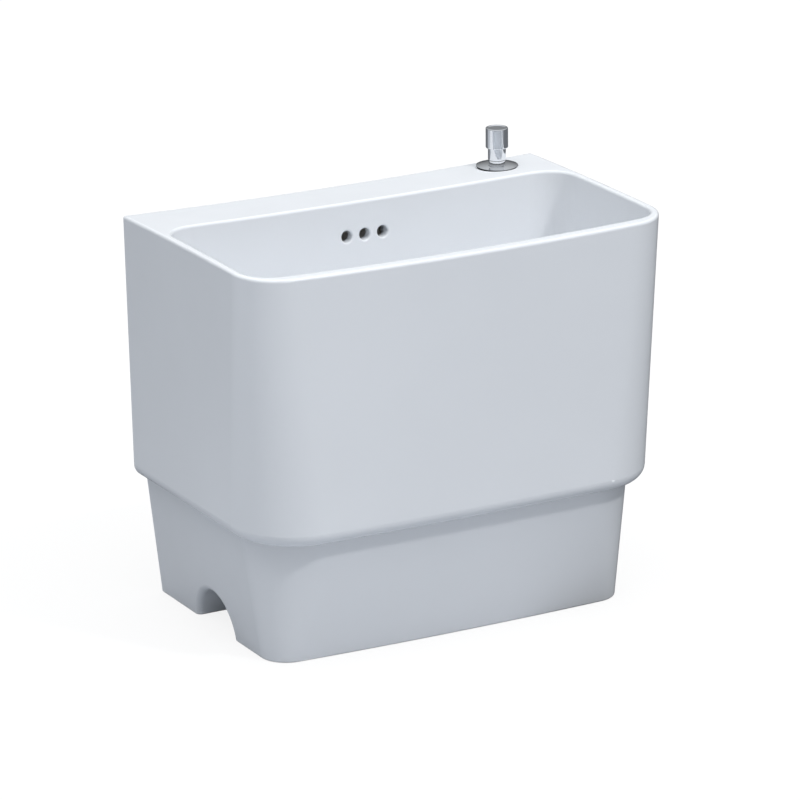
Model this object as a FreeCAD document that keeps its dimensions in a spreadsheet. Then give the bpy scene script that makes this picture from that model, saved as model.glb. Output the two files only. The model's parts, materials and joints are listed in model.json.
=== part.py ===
import FreeCAD, Part
import math
import os
import Sketcher

# Mop sink: a glazed tub on a glazed pedestal, with a pop-up waste worked by a knob on the deck.
# Millimetres. X runs along the width, the wall side is +Y, and Z is up from the floor.
# The origin is on the floor, under the middle of the width and of the depth.

SIZES = {
    # Outside of the tub
    "width": 565.0,
    "depth": 358.0,
    "deck_height": 487.0,
    "front_rise": 1.8,
    "deck_sag": 4.5,
    "crown_radius": 8000.0,
    "rim_corner_radius": 58.0,
    "rim_bow_radius": 2800.0,
    "rim_edge_radius": 3.5,
    "side_draft": 6.2,
    "front_draft": 7.8,
    "ledge_height": 156.0,
    "ledge_corner_radius": 87.0,
    "ledge_bow_radius": 12000.0,
    "ledge_round": 17.0,
    # Inside of the tub
    "deck_depth": 83.0,
    "side_rim": 10.0,
    "front_rim": 17.5,
    "tub_corner_radius": 38.0,
    "tub_back_corner_radius": 40.0,
    "floor_thickness": 10.0,
    "tub_side_slope": 11.0,
    "tub_front_slope": 12.0,
    "tub_back_slope": 33.0,
    "floor_corner_radius": 48.0,
    "floor_bow_radius": 5000.0,
    "floor_round": 30.0,
    "dish_width": 25.0,
    "dish_drop": 6.0,
    "well_room": 3.0,
    "well_drop": 12.0,
    # Hollow behind the tub
    "tub_wall": 12.0,
    "deck_thickness": 14.0,
    "cheek": 18.0,
    "foot_width": 46.0,
    "foot_height": 46.0,
    # Overflow
    "overflow_radius": 7.2,
    "overflow_edge_radius": 2.0,
    "overflow_pitch": 24.5,
    "overflow_drop": 43.0,
    "duct_half_width": 42.0,
    "duct_gap": 16.0,
    "duct_wall": 7.0,
    "duct_head": 18.0,
    "channel_gap": 11.0,
    "channel_drop": 34.0,
    # Pedestal
    "pedestal_inset": 17.5,
    "pedestal_side_draft": 17.8,
    "pedestal_front_draft": 28.0,
    "pedestal_corner_radius": 81.0,
    "pedestal_foot_corner_radius": 34.0,
    "pedestal_foot_bow_radius": 4500.0,
    "pedestal_wall": 12.0,
    "pedestal_lip": 32.0,
    "pedestal_lip_thickness": 14.0,
    "bed_thickness": 1.0,
    "bed_setback": 0.6,
    # Hose notch in the left side of the pedestal
    "notch_from_back": 146.0,
    "notch_half_width": 48.0,
    "notch_height": 46.5,
    "notch_shoulder_radius": 40.0,
    "notch_sleeve": 46.0,
    "notch_lip": 9.0,
    "notch_edge_radius": 8.0,
    "foot_edge_radius": 2.5,
    # Waste, from the inside outwards
    "drain_forward": 40.0,
    "throat_radius": 24.0,
    "throat_top_radius": 30.0,
    "throat_depth": 3.4,
    "neck_wall": 3.0,
    "neck_above_channel": 2.0,
    "neck_end_gap": 0.5,
    "waste_wall": 3.0,
    "waste_seat_gap": 0.5,
    "window_width": 8.0,
    "drain_hole_room": 3.0,
    "drain_seat_drop": 4.0,
    "drain_seat_room": 1.5,
    "flange_cover": 10.5,
    "flange_thickness": 3.0,
    "flange_edge": 1.2,
    "flange_gasket_thickness": 1.5,
    "flange_gasket_setback": 1.0,
    "cone_washer_thickness": 6.0,
    "cone_washer_cover": 10.0,
    "cone_washer_lip": 2.0,
    "drain_boss_room": 3.0,
    "slip_washer_thickness": 1.5,
    "slip_washer_cover": 8.0,
    "waste_nut_wall": 11.0,
    "waste_nut_height": 8.0,
    "tail_radius": 20.0,
    "tail_wall": 1.8,
    "tail_connection": 20.0,
    "tail_step": 0.4,
    "tail_drop": 32.0,
    "tail_insert": 16.0,
    "tail_socket": 18.0,
    "tail_seal_thickness": 4.0,
    "tail_nut_wall": 4.0,
    "tail_nut_floor": 4.0,
    "tail_nut_grip": 10.0,
    # Pivot of the rod that works the stopper
    "ball_radius": 8.0,
    "ball_room": 1.0,
    "ball_cover": 2.0,
    "seat_floor": 2.0,
    "ball_seat_length": 6.0,
    "port_wall": 3.0,
    "port_drop": 2.5,
    "port_hole_room": 2.5,
    "pivot_rod_radius": 3.0,
    "pivot_rod_inner_end": 6.0,
    "pivot_rod_outer_end": 16.0,
    "pivot_nut_wall": 4.0,
    "pivot_nut_floor": 6.0,
    "pivot_nut_grip": 8.0,
    "pivot_nut_spigot": 6.0,
    "pivot_nut_room": 2.0,
    # Stopper
    "stopper_cover": 1.0,
    "stopper_thickness": 3.2,
    "stopper_crown": 1.6,
    "stopper_edge": 1.0,
    "stopper_spigot_radius": 15.0,
    "stopper_spigot_length": 7.5,
    "seal_thickness": 2.0,
    "stem_radius": 4.0,
    "stem_fin_gap": 0.6,
    "stem_fin_thickness": 3.0,
    "stem_fin_height": 40.0,
    "eye_room": 0.9,
    "eye_width": 14.0,
    "eye_thickness": 4.0,
    "eye_end": 7.0,
    "eye_to_fins": 12.5,
    # Lift rod, strap and clip
    "knob_from_side": 67.7,
    "knob_from_back": 33.0,
    "knob_travel": 42.0,
    "lift_rod_radius": 3.0,
    "strap_width": 14.0,
    "strap_thickness": 2.0,
    "strap_length": 135.0,
    "strap_end": 16.0,
    "strap_hole_room": 0.9,
    "strap_hole_pitch": 14.0,
    "block_below": 6.0,
    "block_height": 24.0,
    "block_side": 14.0,
    "screw_radius": 2.5,
    "screw_head_radius": 6.0,
    "screw_head_length": 8.0,
    "screw_drop": 9.0,
    "clip_half_length": 6.0,
    "clip_thickness": 1.0,
    "clip_half_height": 5.0,
    "clip_bridge": 3.0,
    # Knob and its guide through the deck
    "bush_wall": 2.9,
    "shank_wall": 2.0,
    "shank_tail": 7.5,
    "boss_wall": 2.4,
    "boss_height": 8.0,
    "deck_hole_room": 7.0,
    "deck_washer_cover": 4.0,
    "deck_washer_thickness": 2.5,
    "deck_nut_height": 8.0,
    "deck_nut_wall": 6.5,
    "deck_gasket_setback": 1.5,
    "deck_gasket_thickness": 1.5,
    "escutcheon_radius": 26.0,
    "escutcheon_edge": 1.6,
    "escutcheon_rise": 4.2,
    "escutcheon_dome_radius": 60.0,
    "land_room": 0.5,
    "land_drop": 1.8,
    "sleeve_radius": 11.1,
    "sleeve_height": 15.5,
    "sleeve_edge": 0.8,
    "cap_radius": 13.9,
    "cap_height": 25.5,
    "cap_edge": 1.2,
    "cap_rim": 3.0,
    "cap_ring_width": 1.0,
    "cap_recess": 0.7,
    "cap_bore_depth": 22.0,
    # Clearances
    "running_gap": 0.1,
    "soft_gap": 0.3,
    "loose_gap": 0.5,
    "trim": 4.0,
    "overrun": 12.0,
}

# Shares and counts
WINDOW_COUNT = 8
STRAP_HOLES = 6
HEX_SIDES = 6
FULL_TURN = 360.0
HALF = 0.5

# How near two places are to count as the same, when edges are picked
NEAR = 0.01

doc = FreeCAD.newDocument("mop_sink")
sheet = doc.addObject("Spreadsheet::Sheet", "Sizes")
for row, (alias, number) in enumerate(SIZES.items(), start=1):
    sheet.set("A%d" % row, alias)
    sheet.set("B%d" % row, str(number))
    sheet.setAlias("B%d" % row, alias)
doc.recompute()


class Size:
    """A worked-out length, kept with the sheet formula that gives it."""

    def __init__(self, formula, number):
        self.formula = formula
        self.number = number

    def joined(self, sign, other, number):
        return Size("(%s %s %s)" % (self.formula, sign, other.formula), number)

    def __add__(self, other):
        return self.joined("+", other, self.number + other.number)

    def __sub__(self, other):
        return self.joined("-", other, self.number - other.number)

    def __mul__(self, other):
        other = as_size(other)
        return self.joined("*", other, self.number * other.number)

    def __truediv__(self, other):
        other = as_size(other)
        return self.joined("/", other, self.number / other.number)

    def __neg__(self):
        return Size("(-%s)" % self.formula, -self.number)


def as_size(value):
    return value if isinstance(value, Size) else Size(repr(value), float(value))


def root(size):
    return Size("sqrt(%s)" % size.formula, math.sqrt(size.number))


def sized(alias):
    return Size("Sizes." + alias, float(sheet.get(alias)))


class Sheet:
    """Every size under its own name, those of the sheet and those that follow from them."""


s = Sheet()
for alias in SIZES:
    setattr(s, alias, sized(alias))

s.floor_height = s.ledge_height + s.floor_thickness
s.neck_radius = s.throat_radius + s.neck_wall
s.waste_radius = s.neck_radius + s.waste_wall
s.drain_hole_radius = s.waste_radius + s.drain_hole_room
s.flange_radius = s.drain_hole_radius + s.flange_cover
s.flange_gasket_inner_radius = s.drain_hole_radius + s.flange_gasket_setback
s.drain_seat_radius = s.flange_radius + s.drain_seat_room
s.dish_radius = s.drain_seat_radius + s.dish_width
s.well_radius = s.dish_radius + s.well_room
s.cone_washer_radius = s.drain_hole_radius + s.cone_washer_cover
s.drain_boss_radius = s.cone_washer_radius + s.drain_boss_room
s.slip_washer_radius = s.drain_hole_radius + s.slip_washer_cover
s.waste_nut_radius = s.waste_radius + s.waste_nut_wall
s.tail_neck_radius = s.tail_radius - s.tail_step
s.tail_nut_radius = s.waste_radius + s.tail_nut_wall
s.port_bore_radius = s.ball_radius + s.ball_room
s.port_radius = s.port_bore_radius + s.port_wall
s.port_hole_radius = s.pivot_rod_radius + s.port_hole_room
s.port_root = (s.throat_radius + s.waste_radius) / 2
s.inner_arm = s.waste_radius + s.seat_floor + s.ball_radius
s.port_bore_depth = s.ball_radius * 2 + s.ball_cover
s.port_reach = s.inner_arm + s.ball_radius + s.ball_cover
s.pivot_nut_radius = s.port_radius + s.pivot_nut_wall
s.pivot_nut_length = s.pivot_nut_grip + s.pivot_nut_floor
s.pivot_nut_hole_radius = s.pivot_rod_radius + s.pivot_nut_room
s.stopper_radius = s.throat_top_radius + s.stopper_cover
s.stem_fin_radius = s.throat_radius - s.stem_fin_gap
s.eye_radius = s.pivot_rod_radius + s.eye_room
s.strap_hole_radius = s.pivot_rod_radius + s.strap_hole_room
s.shank_bore_radius = s.lift_rod_radius + s.running_gap + s.bush_wall
s.shank_radius = s.shank_bore_radius + s.shank_wall
s.boss_radius = s.shank_radius + s.boss_wall
s.deck_hole_radius = s.shank_radius + s.deck_hole_room
s.deck_washer_radius = s.deck_hole_radius + s.deck_washer_cover
s.deck_nut_radius = s.shank_radius + s.deck_nut_wall
s.deck_gasket_radius = s.escutcheon_radius - s.deck_gasket_setback
s.land_radius = s.escutcheon_radius + s.land_room
s.cap_ring_radius = s.cap_radius - s.cap_rim
ZERO = Size("0", 0.0)


def vector(x, y, z):
    return FreeCAD.Vector(x.number, y.number, z.number)


# Drawing and solid helpers

def new_body(label):
    body = doc.addObject("PartDesign::Body", label)
    body.Label = label
    return body


def new_sketch(body, role, shift=ZERO):
    """A sketch on one of the body's own planes, moved along that plane's normal."""
    sketch = body.newObject("Sketcher::SketchObject", body.Name + "_sketch")
    plane = next(item for item in body.Origin.OriginFeatures if item.Role == role)
    sketch.AttachmentSupport = (plane, [""])
    sketch.MapMode = "FlatFace"
    sketch.AttachmentOffset = FreeCAD.Placement(vector(ZERO, ZERO, shift), FreeCAD.Rotation())
    sketch.setExpression("AttachmentOffset.Base.z", shift.formula)
    return sketch


def bind(sketch, kind, where, name, size):
    index = sketch.addConstraint(Sketcher.Constraint(kind, *where, size.number))
    sketch.renameConstraint(index, name)
    sketch.setExpression("Constraints." + name, size.formula)


def draw(sketch, corners, bends=None):
    """A closed loop through the corners. bends gives the sides that are arcs, by the number
    of the corner they leave: a radius, and 1 to bulge to the right of the way or -1 to the left."""
    bends = bends or {}
    points = [vector(u, v, ZERO) for u, v in corners]
    first = sketch.GeometryCount
    for side, start in enumerate(points):
        end = points[(side + 1) % len(points)]
        if side in bends:
            radius, turn = bends[side]
            chord = end - start
            half = chord.Length * HALF
            rise = radius.number - math.sqrt(radius.number ** 2 - half ** 2)
            right = FreeCAD.Vector(chord.y, -chord.x, 0).normalize()
            curve = Part.Arc(start, (start + end) * HALF + right * rise * turn, end)
        else:
            curve = Part.LineSegment(start, end)
        sketch.addGeometry(curve, False)
    for side, (u, v) in enumerate(corners):
        here = first + side
        before = first + (side - 1) % len(corners)
        near = point_at(sketch, here, points[side])
        far = point_at(sketch, before, points[side])
        sketch.addConstraint(Sketcher.Constraint("Coincident", here, near, before, far))
        bind(sketch, "DistanceX", (here, near), "u%d" % here, u)
        bind(sketch, "DistanceY", (here, near), "v%d" % here, v)
        if side in bends:
            bind(sketch, "Radius", (here,), "r%d" % here, bends[side][0])
    return sketch


def point_at(sketch, curve, point):
    """Which end of a curve lies at a point: 1 for its start, 2 for its end."""
    starts_here = (sketch.getPoint(curve, 1) - point).Length < (sketch.getPoint(curve, 2) - point).Length
    return 1 if starts_here else 2


def circle(sketch, u, v, radius):
    plain = Part.Circle(vector(u, v, ZERO), FreeCAD.Vector(0, 0, 1), radius.number)
    index = sketch.addGeometry(plain, False)
    bind(sketch, "DistanceX", (index, 3), "u%d" % index, u)
    bind(sketch, "DistanceY", (index, 3), "v%d" % index, v)
    bind(sketch, "Radius", (index,), "r%d" % index, radius)
    return sketch


def feature(body, kind, sketch, grows):
    """A feature from a sketch, checked to add or to take away material."""
    before = body.Shape.Volume if body.Tip else 0.0
    item = body.newObject("PartDesign::" + kind, body.Name + "_" + kind.lower())
    item.Profile = sketch
    return item, before, grows


def settle(made):
    item, before, grows = made
    doc.recompute()
    after = item.Shape.Volume
    if (after > before) != grows:
        raise ValueError("%s changes the solid the wrong way: %.1f to %.1f" % (item.Name, before, after))
    return item


def extrude(body, kind, sketch, length, both=False, back=False):
    made = feature(body, kind, sketch, kind == "Pad")
    item = made[0]
    item.SideType = "Symmetric" if both else "One side"
    item.Reversed = back
    item.Length = length.number
    item.setExpression("Length", length.formula)
    return settle(made)


def spin(body, kind, sketch):
    made = feature(body, kind, sketch, kind == "Revolution")
    made[0].ReferenceAxis = (sketch, ["V_Axis"])
    made[0].Angle = FULL_TURN
    return settle(made)


def loft(body, kind, sections):
    made = feature(body, kind, sections[0], kind == "AdditiveLoft")
    made[0].Sections = sections[1:]
    return settle(made)


def ease(body, kind, radius, wanted):
    """A fillet or chamfer along every edge for which wanted(edge) is true."""
    base = body.Tip
    names = ["Edge%d" % n for n, edge in enumerate(base.Shape.Edges, start=1) if wanted(edge)]
    if not names:
        raise ValueError("no edge to ease on " + body.Name)
    item = body.newObject("PartDesign::" + kind, body.Name + "_" + kind.lower())
    item.Base = (base, names)
    name = "Radius" if kind == "Fillet" else "Size"
    setattr(item, name, radius.number)
    item.setExpression(name, radius.formula)
    doc.recompute()
    return item


def locate(item, x, y, z, turn=None):
    """Put a finished piece where it belongs, turned first about its own origin."""
    item.Placement = FreeCAD.Placement(vector(x, y, z), turn or FreeCAD.Rotation())
    item.setExpression("Placement.Base.x", x.formula)
    item.setExpression("Placement.Base.y", y.formula)
    item.setExpression("Placement.Base.z", z.formula)
    return item


def turned(label, profile, x, y, z, bends=None):
    """A piece turned about its own upright axis; the profile holds radius and height."""
    body = new_body(label)
    spin(body, "Revolution", draw(new_sketch(body, "XZ_Plane"), profile, bends))
    return locate(body, x, y, z)


def primitive(kind, label, **sizes):
    item = doc.addObject("Part::" + kind, label)
    item.Label = label
    for name, size in sizes.items():
        setattr(item, name, size.number)
        item.setExpression(name, size.formula)
    return item


def cut(label, base, tool):
    item = doc.addObject("Part::Cut", label)
    item.Label = label
    item.Base = base
    item.Tool = tool
    doc.recompute()
    return item


def fuse(label, base, tool):
    item = doc.addObject("Part::Fuse", label)
    item.Label = label
    item.Base = base
    item.Tool = tool
    doc.recompute()
    return item


def along_x():
    return FreeCAD.Rotation(FreeCAD.Vector(0, 1, 0), FULL_TURN / 4)


# Places that several pieces share

half_width = s.width / 2
half_depth = s.depth / 2
back = half_depth
rough_back = back + s.trim
rim_front = -half_depth
rim_top = s.deck_height + s.trim
ledge_half = half_width - s.side_draft
ledge_front = rim_front + s.front_draft
tub_back = back - s.deck_depth
floor_back = tub_back - s.tub_back_slope
drain_y = -s.drain_forward
drain_seat = s.floor_height - s.dish_drop - s.drain_seat_drop
boss_bottom = s.ledge_height - s.channel_drop
channel_bottom = boss_bottom + s.duct_wall
channel_top = channel_bottom + s.channel_gap
knob_y = back - s.knob_from_back
land = s.deck_height - s.land_drop
deck_underside = s.deck_height - s.deck_thickness
knob_x = half_width - s.knob_from_side

# The pivot rod lies level under the floor, from the waste to a point below the knob
arm_x = knob_x
arm_y = knob_y - drain_y
rod_bearing = math.degrees(math.atan2(arm_y.number, arm_x.number))
rod_span = root(arm_x * arm_x + arm_y * arm_y)
outer_arm = rod_span - s.inner_arm
half_travel = s.knob_travel / 2
rod_tilt = math.degrees(math.atan2(half_travel.number, outer_arm.number))
heading = FreeCAD.Rotation(FreeCAD.Vector(0, 0, 1), rod_bearing)
rod_turn = heading * FreeCAD.Rotation(FreeCAD.Vector(0, 1, 0), rod_tilt)
eye_rise = s.inner_arm * half_travel / outer_arm
stopper_lift = eye_rise * 2


def at_reach(reach):
    """A point over the rod's line at a reach from the waste axis, as X and Y."""
    return arm_x * reach / rod_span, drain_y + arm_y * reach / rod_span


# Tub

def outline(body, level, half, rear, front, corner, bow, rear_corner=None):
    """The plan of a wall: straight rear and sides, round front corners and a bowed front."""
    bow_y = front + bow
    corner_x = half - corner
    corner_y = bow_y - root((bow - corner) * (bow - corner) - corner_x * corner_x)
    tangent_x = corner_x * bow / (bow - corner)
    tangent_y = bow_y + (corner_y - bow_y) * bow / (bow - corner)
    front_part = [(-half, corner_y), (-tangent_x, tangent_y), (tangent_x, tangent_y), (half, corner_y)]
    if rear_corner:
        inner_x = half - rear_corner
        inner_y = rear - rear_corner
        corners = [(-inner_x, rear), (-half, inner_y)] + front_part + [(half, inner_y), (inner_x, rear)]
        bends = {0: (rear_corner, 1), 2: (corner, 1), 3: (bow, 1), 4: (corner, 1), 6: (rear_corner, 1)}
    else:
        corners = [(-half, rear)] + front_part + [(half, rear)]
        bends = {1: (corner, 1), 2: (bow, 1), 3: (corner, 1)}
    return draw(new_sketch(body, "XY_Plane", level), corners, bends)


def tub_face_y(level):
    """How far back the inside face of the tub's rear wall is at a height."""
    return tub_back - s.tub_back_slope * (rim_top - level) / (rim_top - s.floor_height)


def crown(body, side, sag):
    """One cross section of what is trimmed off the top, to leave a crowned deck and rim."""
    top = rim_top + s.overrun
    rear = back + s.overrun
    front = rim_front - s.overrun
    corners = [
        (rear, s.deck_height - sag),
        (rear, top),
        (front, top),
        (front, s.deck_height + s.front_rise),
    ]
    return draw(new_sketch(body, "YZ_Plane", side), corners, {3: (s.crown_radius, -1)})


def make_tub():
    body = new_body("tub")
    loft(body, "AdditiveLoft", [
        outline(body, rim_top, half_width, rough_back, rim_front, s.rim_corner_radius,
                s.rim_bow_radius),
        outline(body, s.ledge_height, ledge_half, rough_back, ledge_front, s.ledge_corner_radius,
                s.ledge_bow_radius),
    ])
    square_back(body, rim_top, s.ledge_height)
    ease(body, "Fillet", s.ledge_round, lambda edge: lies_level(edge, s.ledge_height) and not at_back(edge))
    loft(body, "SubtractiveLoft", [
        outline(body, rim_top, half_width - s.side_rim, tub_back, rim_front + s.front_rim,
                s.tub_corner_radius, s.rim_bow_radius - s.front_rim, s.tub_back_corner_radius),
        outline(body, s.floor_height, half_width - s.side_rim - s.tub_side_slope, floor_back,
                rim_front + s.front_rim + s.tub_front_slope, s.floor_corner_radius,
                s.floor_bow_radius, s.floor_corner_radius),
    ])
    ease(body, "Fillet", s.floor_round, lambda edge: lies_level(edge, s.floor_height))
    loft(body, "SubtractiveLoft", [
        crown(body, -half_width - s.overrun, ZERO),
        crown(body, ZERO, s.deck_sag),
        crown(body, half_width + s.overrun, ZERO),
    ])
    ease(body, "Fillet", s.rim_edge_radius, lambda edge: above(edge, land) or at_back(edge))
    hollow_behind(body)
    overflow_duct(body)
    drain_opening(body)
    knob_opening(body)
    return body


def square_back(body, top, bottom):
    """Cut a casting off flat, where it stands against the wall."""
    reach = half_width + s.overrun
    rear = rough_back + s.overrun
    corners = [(-reach, back), (reach, back), (reach, rear), (-reach, rear)]
    sketch = draw(new_sketch(body, "XY_Plane", top + s.overrun), corners)
    extrude(body, "Pocket", sketch, top - bottom + s.overrun * 2)


def lies_level(edge, level):
    box = edge.BoundBox
    return abs(box.ZMin - level.number) < NEAR and abs(box.ZMax - level.number) < NEAR


def at_back(edge):
    return edge.BoundBox.YMin > back.number - NEAR


def above(edge, level):
    return edge.BoundBox.ZMin > (level - s.deck_sag).number


def hollow_behind(body):
    """The space between the tub's rear wall and the room's wall, open at the back and below."""
    step = s.ledge_height + s.foot_height
    rear = back + s.overrun
    below = s.ledge_height - s.overrun
    upper = [
        (tub_face_y(deck_underside) + s.tub_wall, deck_underside),
        (tub_face_y(step) + s.tub_wall, step),
        (rear, step),
        (rear, deck_underside),
    ]
    lower = [
        (tub_face_y(step) + s.tub_wall, step),
        (tub_face_y(below) + s.tub_wall, below),
        (rear, below),
        (rear, step),
    ]
    extrude(body, "Pocket", draw(new_sketch(body, "YZ_Plane"), upper), (half_width - s.cheek) * 2, both=True)
    extrude(body, "Pocket", draw(new_sketch(body, "YZ_Plane"), lower), (ledge_half - s.foot_width) * 2,
            both=True)


def overflow_duct(body):
    """Three holes high in the rear wall, the duct that takes their water to the waste, and
    the thickening under the floor that the duct and the waste meet in."""
    hole_height = s.deck_height - s.overflow_drop
    head = hole_height + s.duct_head
    reach = s.tub_wall + s.duct_gap + s.duct_wall
    slab = s.ledge_height + s.duct_wall
    outside = [
        (tub_face_y(head) + s.tub_wall / 2, head),
        (tub_face_y(slab) + s.tub_wall / 2, slab),
        (drain_y, slab),
        (drain_y, boss_bottom),
        (tub_face_y(boss_bottom) + reach, boss_bottom),
        (tub_face_y(head) + reach, head - s.duct_gap),
    ]
    extrude(body, "Pad", draw(new_sketch(body, "YZ_Plane"), outside), s.duct_half_width * 2, both=True)
    boss = circle(new_sketch(body, "XY_Plane", boss_bottom), ZERO, drain_y, s.drain_boss_radius)
    extrude(body, "Pad", boss, slab - boss_bottom)
    well_bottom = s.ledge_height - s.well_drop
    well = circle(new_sketch(body, "XY_Plane", well_bottom), ZERO, drain_y, s.well_radius)
    extrude(body, "Pad", well, slab - well_bottom)
    roof = head - s.duct_wall
    inside = [
        (tub_face_y(roof) + s.tub_wall, roof),
        (tub_face_y(channel_top) + s.tub_wall, channel_top),
        (drain_y, channel_top),
        (drain_y, channel_bottom),
        (tub_face_y(channel_bottom) + s.tub_wall + s.duct_gap, channel_bottom),
        (tub_face_y(roof) + s.tub_wall + s.duct_gap, roof - s.duct_gap),
    ]
    extrude(body, "Pocket", draw(new_sketch(body, "YZ_Plane"), inside),
            (s.duct_half_width - s.duct_wall) * 2, both=True)
    holes = new_sketch(body, "XZ_Plane", -(tub_face_y(hole_height) + s.tub_wall / 2))
    for place in (-s.overflow_pitch, ZERO, s.overflow_pitch):
        circle(holes, place, hole_height, s.overflow_radius)
    extrude(body, "Pocket", holes, s.tub_wall * 2, both=True)
    middle_of_wall = (tub_face_y(hole_height) + s.tub_wall / 2).number

    def rims_a_hole(edge):
        box = edge.BoundBox
        level = abs(box.Center.z - hole_height.number) < s.overflow_radius.number
        beside = abs(box.Center.x) < s.overflow_pitch.number + s.overflow_radius.number
        short = box.YLength < s.overflow_radius.number
        return level and beside and short and box.YMax < middle_of_wall

    ease(body, "Fillet", s.overflow_edge_radius, rims_a_hole)


def drain_opening(body):
    """A shallow dish in the floor, a flat seat for the flange, and the hole for the waste."""
    dish_bottom = s.floor_height - s.dish_drop
    dish = [
        (ZERO, s.floor_height),
        (s.dish_radius, s.floor_height),
        (s.drain_seat_radius, dish_bottom),
        (s.drain_seat_radius, drain_seat),
        (ZERO, drain_seat),
    ]
    spin(body, "Groove", draw(new_sketch(body, "XZ_Plane", -drain_y), dish))
    hole = circle(new_sketch(body, "XY_Plane", drain_seat), ZERO, drain_y, s.drain_hole_radius)
    extrude(body, "Pocket", hole, drain_seat - boss_bottom + s.overrun)


def knob_opening(body):
    """A flat land on the deck for the escutcheon's gasket, and the hole for the guide."""
    flat = circle(new_sketch(body, "XY_Plane", rim_top), knob_x, knob_y, s.land_radius)
    extrude(body, "Pocket", flat, rim_top - land)
    hole = circle(new_sketch(body, "XY_Plane", land), knob_x, knob_y, s.deck_hole_radius)
    extrude(body, "Pocket", hole, land - deck_underside + s.overrun)


# Pedestal

pedestal_top = s.ledge_height - s.bed_thickness
pedestal_half = ledge_half - s.pedestal_inset
pedestal_front = ledge_front + s.pedestal_inset
foot_half = pedestal_half - s.pedestal_side_draft
foot_front = pedestal_front + s.pedestal_front_draft
lip_underside = pedestal_top - s.pedestal_lip_thickness
lip_share = s.pedestal_lip_thickness / pedestal_top
open_back = back + s.overrun
sleeve_start = foot_half - s.pedestal_wall / 2


def make_pedestal():
    body = new_body("pedestal")
    loft(body, "AdditiveLoft", [
        outline(body, pedestal_top, pedestal_half, rough_back, pedestal_front,
                s.pedestal_corner_radius, s.ledge_bow_radius),
        outline(body, ZERO, foot_half, rough_back, foot_front, s.pedestal_foot_corner_radius,
                s.pedestal_foot_bow_radius),
    ])
    square_back(body, pedestal_top, ZERO)
    loft(body, "SubtractiveLoft", [
        outline(body, lip_underside,
                pedestal_half - s.pedestal_side_draft * lip_share - s.pedestal_wall, open_back,
                pedestal_front + s.pedestal_front_draft * lip_share + s.pedestal_wall,
                s.pedestal_corner_radius - s.pedestal_wall, s.ledge_bow_radius),
        outline(body, ZERO, foot_half - s.pedestal_wall, open_back, foot_front + s.pedestal_wall,
                s.pedestal_foot_corner_radius - s.pedestal_wall, s.pedestal_foot_bow_radius),
    ])
    mouth = outline(body, pedestal_top, pedestal_half - s.pedestal_lip, open_back,
                    pedestal_front + s.pedestal_lip, s.pedestal_corner_radius - s.pedestal_lip,
                    s.ledge_bow_radius)
    extrude(body, "Pocket", mouth, s.pedestal_lip_thickness + s.overrun)
    hose_notch(body)
    return body


def arch(body, side, half, height, shoulder, below):
    """A three-centred arch in the side wall, standing on the floor or reaching below it."""
    middle = back - s.notch_from_back
    offset = half - shoulder
    top_radius = (offset * offset + height * height - shoulder * shoulder) / ((height - shoulder) * 2)
    tangent_y = offset * top_radius / (top_radius - shoulder)
    tangent_z = (top_radius - height) * shoulder / (top_radius - shoulder)
    corners = [
        (middle + half, ZERO),
        (middle + tangent_y, tangent_z),
        (middle - tangent_y, tangent_z),
        (middle - half, ZERO),
    ]
    if below:
        corners += [(middle - half, -below), (middle + half, -below)]
    bends = {0: (shoulder, 1), 1: (top_radius, 1), 2: (shoulder, 1)}
    return draw(new_sketch(body, "YZ_Plane", side), corners, bends)


def hose_notch(body):
    """The arch in the left wall that lets a waste hose out, with a short sleeve behind it."""
    sleeve = arch(body, -sleeve_start, s.notch_half_width + s.notch_lip, s.notch_height + s.notch_lip,
                  s.notch_shoulder_radius + s.notch_lip, None)
    extrude(body, "Pad", sleeve, s.notch_sleeve)
    outer = pedestal_half + s.overrun
    passage = arch(body, -outer, s.notch_half_width, s.notch_height, s.notch_shoulder_radius, s.overrun)
    extrude(body, "Pocket", passage, outer - sleeve_start + s.notch_sleeve + s.overrun, back=True)
    middle = (back - s.notch_from_back).number
    reach = s.notch_half_width.number + NEAR

    def on_outer_face(edge):
        box = edge.BoundBox
        within = box.YMin > middle - reach and box.YMax < middle + reach
        return within and box.XMax < -foot_half.number + NEAR and box.ZMax > NEAR

    ease(body, "Fillet", s.notch_edge_radius, on_outer_face)

    def round_the_foot(edge):
        box = edge.BoundBox
        at_side = abs(box.XMin + foot_half.number) < NEAR or abs(box.XMax - foot_half.number) < NEAR
        at_front = abs(box.YMin - foot_front.number) < NEAR
        return lies_level(edge, ZERO) and (at_side or at_front)

    ease(body, "Fillet", s.foot_edge_radius, round_the_foot)


def make_bedding():
    """The thin bed of sealant between the pedestal and the tub."""
    body = new_body("bedding_joint")
    setback = s.bed_setback
    plan = outline(body, pedestal_top, pedestal_half - setback, back - setback, pedestal_front + setback,
                   s.pedestal_corner_radius - setback, s.ledge_bow_radius)
    extrude(body, "Pad", plan, s.bed_thickness)
    inset = s.pedestal_lip - setback
    mouth = outline(body, s.ledge_height, pedestal_half - inset, open_back, pedestal_front + inset,
                    s.pedestal_corner_radius - inset, s.ledge_bow_radius)
    extrude(body, "Pocket", mouth, s.bed_thickness + s.overrun)
    return body


# Waste

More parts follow.
